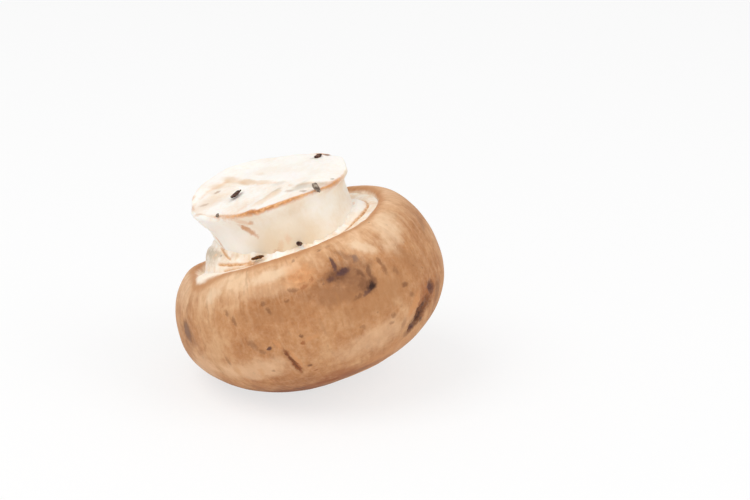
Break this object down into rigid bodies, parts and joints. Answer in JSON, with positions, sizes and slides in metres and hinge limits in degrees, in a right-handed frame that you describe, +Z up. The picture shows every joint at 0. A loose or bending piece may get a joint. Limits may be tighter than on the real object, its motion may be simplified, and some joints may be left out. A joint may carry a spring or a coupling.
{
  "type": "cremini mushroom",
  "caption": "Whole cremini mushroom lying upside down: rounded brown cap, torn white veil and a thick cut stem.",
  "frame": {"origin": "centre of the bounding box's bottom face, on the surface that the mushroom rests on", "axes": "+Z up as it rests; the cap's axis leans 20.5 degrees towards -X and 4 degrees towards +Y; -Y is the front"},
  "size_m": [0.0494, 0.0494, 0.0409],
  "materials": {
    "cap_skin": "matt tan-brown mushroom skin",
    "veil": "matt cream membrane",
    "stem_flesh": "matt off-white mushroom flesh",
    "peat": "rough dark peat"
  },
  "bodies": {
    "root": {"cap": "cap_skin", "veil": "veil", "stem": "stem_flesh", "peat_crumb_1": "peat", "peat_crumb_2": "peat", "peat_crumb_3": "peat", "peat_crumb_4": "peat", "peat_crumb_5": "peat", "peat_crumb_6": "peat"}
  },
  "joints": []
}
